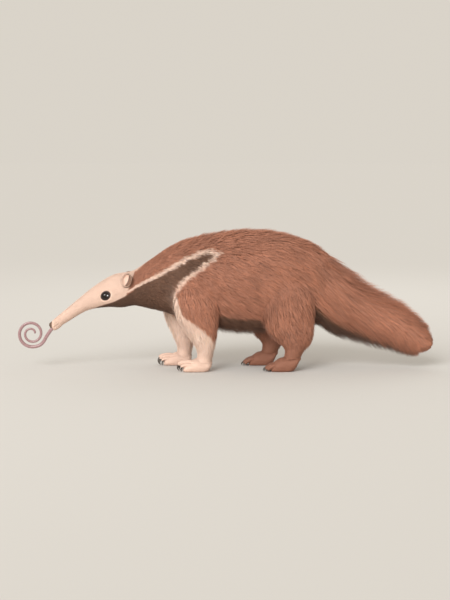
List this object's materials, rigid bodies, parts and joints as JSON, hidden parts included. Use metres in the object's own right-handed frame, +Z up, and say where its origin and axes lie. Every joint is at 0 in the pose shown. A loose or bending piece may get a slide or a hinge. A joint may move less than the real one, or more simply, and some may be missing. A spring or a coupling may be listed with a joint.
{
  "type": "giant anteater",
  "caption": "Life-size still giant anteater standing with its long snout low and its tongue curled in a spiral, with a shaggy brown coat, cream forelegs, a dark throat wedge and a bushy tail.",
  "frame": {"origin": "on the floor, below the centre of the whole model's box", "axes": "+X from the head towards the tail, +Y to the animal's right side, +Z up"},
  "size_m": [1.865, 0.3124, 0.6363],
  "materials": {
    "brown_coat": "coarse long hair, matt",
    "dark_coat": "coarse dark hair, matt",
    "cream_coat": "short pale hair, matt",
    "ear_coat": "very short hair over skin",
    "eye": "wet gloss",
    "tongue": "moist, smooth",
    "claw": "horn, half gloss"
  },
  "bodies": {
    "root": {"ear_left": "ear_coat", "ear_right": "ear_coat", "eye_left": "eye", "eye_right": "eye", "fore_claw_left_1": "claw", "fore_claw_left_2": "claw", "fore_claw_left_3": "claw", "fore_claw_left_4": "claw", "fore_claw_right_1": "claw", "fore_claw_right_2": "claw", "fore_claw_right_3": "claw", "fore_claw_right_4": "claw", "forefoot_left": "cream_coat", "forefoot_right": "cream_coat", "foreleg_left": "cream_coat", "foreleg_right": "cream_coat", "head": "cream_coat", "hind_claw_left_1": "claw", "hind_claw_left_2": "claw", "hind_claw_left_3": "claw", "hind_claw_left_4": "claw", "hind_claw_left_5": "claw", "hind_claw_right_1": "claw", "hind_claw_right_2": "claw", "hind_claw_right_3": "claw", "hind_claw_right_4": "claw", "hind_claw_right_5": "claw", "hindfoot_left": "brown_coat", "hindfoot_right": "brown_coat", "hindleg_left": "brown_coat", "hindleg_right": "brown_coat", "neck": "dark_coat", "tail": "brown_coat", "tongue_curl": "tongue", "tongue_middle": "tongue", "tongue_root": "tongue", "torso": "brown_coat"}
  },
  "joints": []
}
